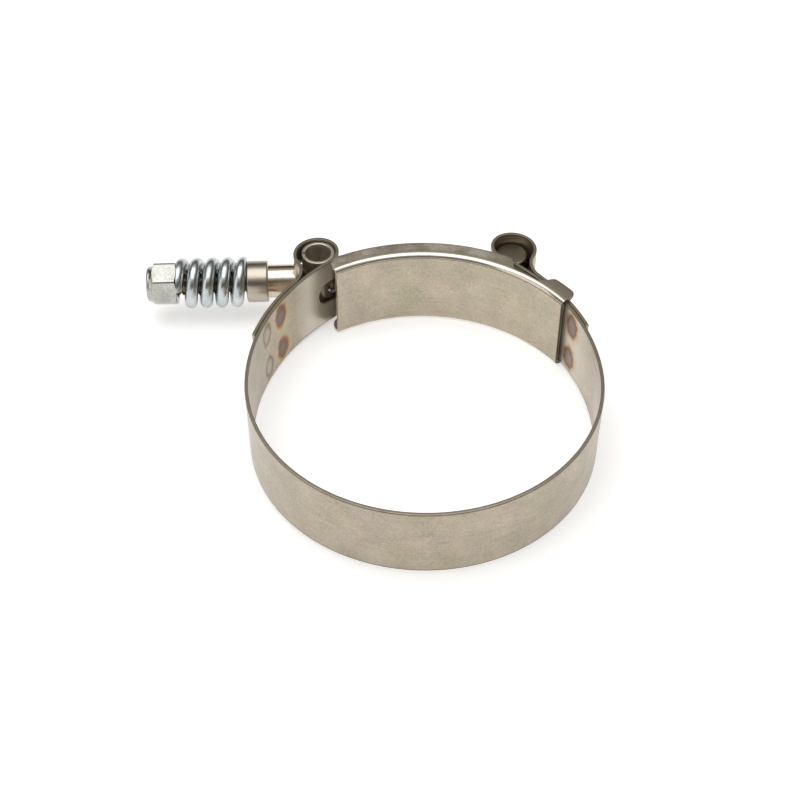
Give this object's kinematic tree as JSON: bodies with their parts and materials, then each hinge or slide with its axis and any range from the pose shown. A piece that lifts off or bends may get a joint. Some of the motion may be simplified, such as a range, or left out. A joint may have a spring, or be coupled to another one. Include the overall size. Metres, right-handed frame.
{
  "type": "t bolt clamp",
  "caption": "Spring-loaded T-bolt hose clamp: a wide steel band ring with looped ends, a flanged bridge over the gap, and a bolt, spring and lock nut that pull it tight.",
  "frame": {"origin": "on the ring's axis, half-way up the band's width", "axes": "+Z along the ring's axis; +X along the bolt, from the nut towards the T-head; +Y from the ring's centre towards the gap and the bolt"},
  "size_m": [0.1079, 0.0912, 0.0212],
  "materials": {
    "band_steel": "satin rolled stainless",
    "bridge_steel": "satin rolled stainless",
    "bolt_steel": "rolled thread, satin",
    "trunnion_steel": "rolled stainless",
    "spacer_steel": "turned stainless",
    "spring_zinc": "bright zinc plated wire",
    "nut_zinc": "bright zinc plated",
    "nylon": "natural nylon"
  },
  "bodies": {
    "clamp": {"band": "band_steel", "t_bolt": "bolt_steel", "trunnion": "trunnion_steel", "spacer": "spacer_steel"},
    "bridge": {"bridge": "bridge_steel"},
    "spring": {"spring": "spring_zinc"},
    "nut": {"lock_nut": "nut_zinc", "nut_insert": "nylon"}
  },
  "joints": [
    {"name": "bridge_float", "type": "hinge", "parent": "clamp", "child": "bridge", "pos_m": [0, 0, 0], "axis": [0, 0, 1], "range_deg": [-2, 2]},
    {"name": "nut_travel", "type": "slide", "parent": "clamp", "child": "spring", "axis": [1, 0, 0], "range_m": [0, 0.0025], "deforming": ["spring"]},
    {"name": "nut_turn", "type": "hinge", "parent": "spring", "child": "nut", "pos_m": [-0.0625, 0.0441, 0], "axis": [1, 0, 0], "range_deg": [0, 900]}
  ],
  "couplings": [
    {"joint": "nut_turn", "follows": "nut_travel", "rad_per_m": 6283.1}
  ]
}
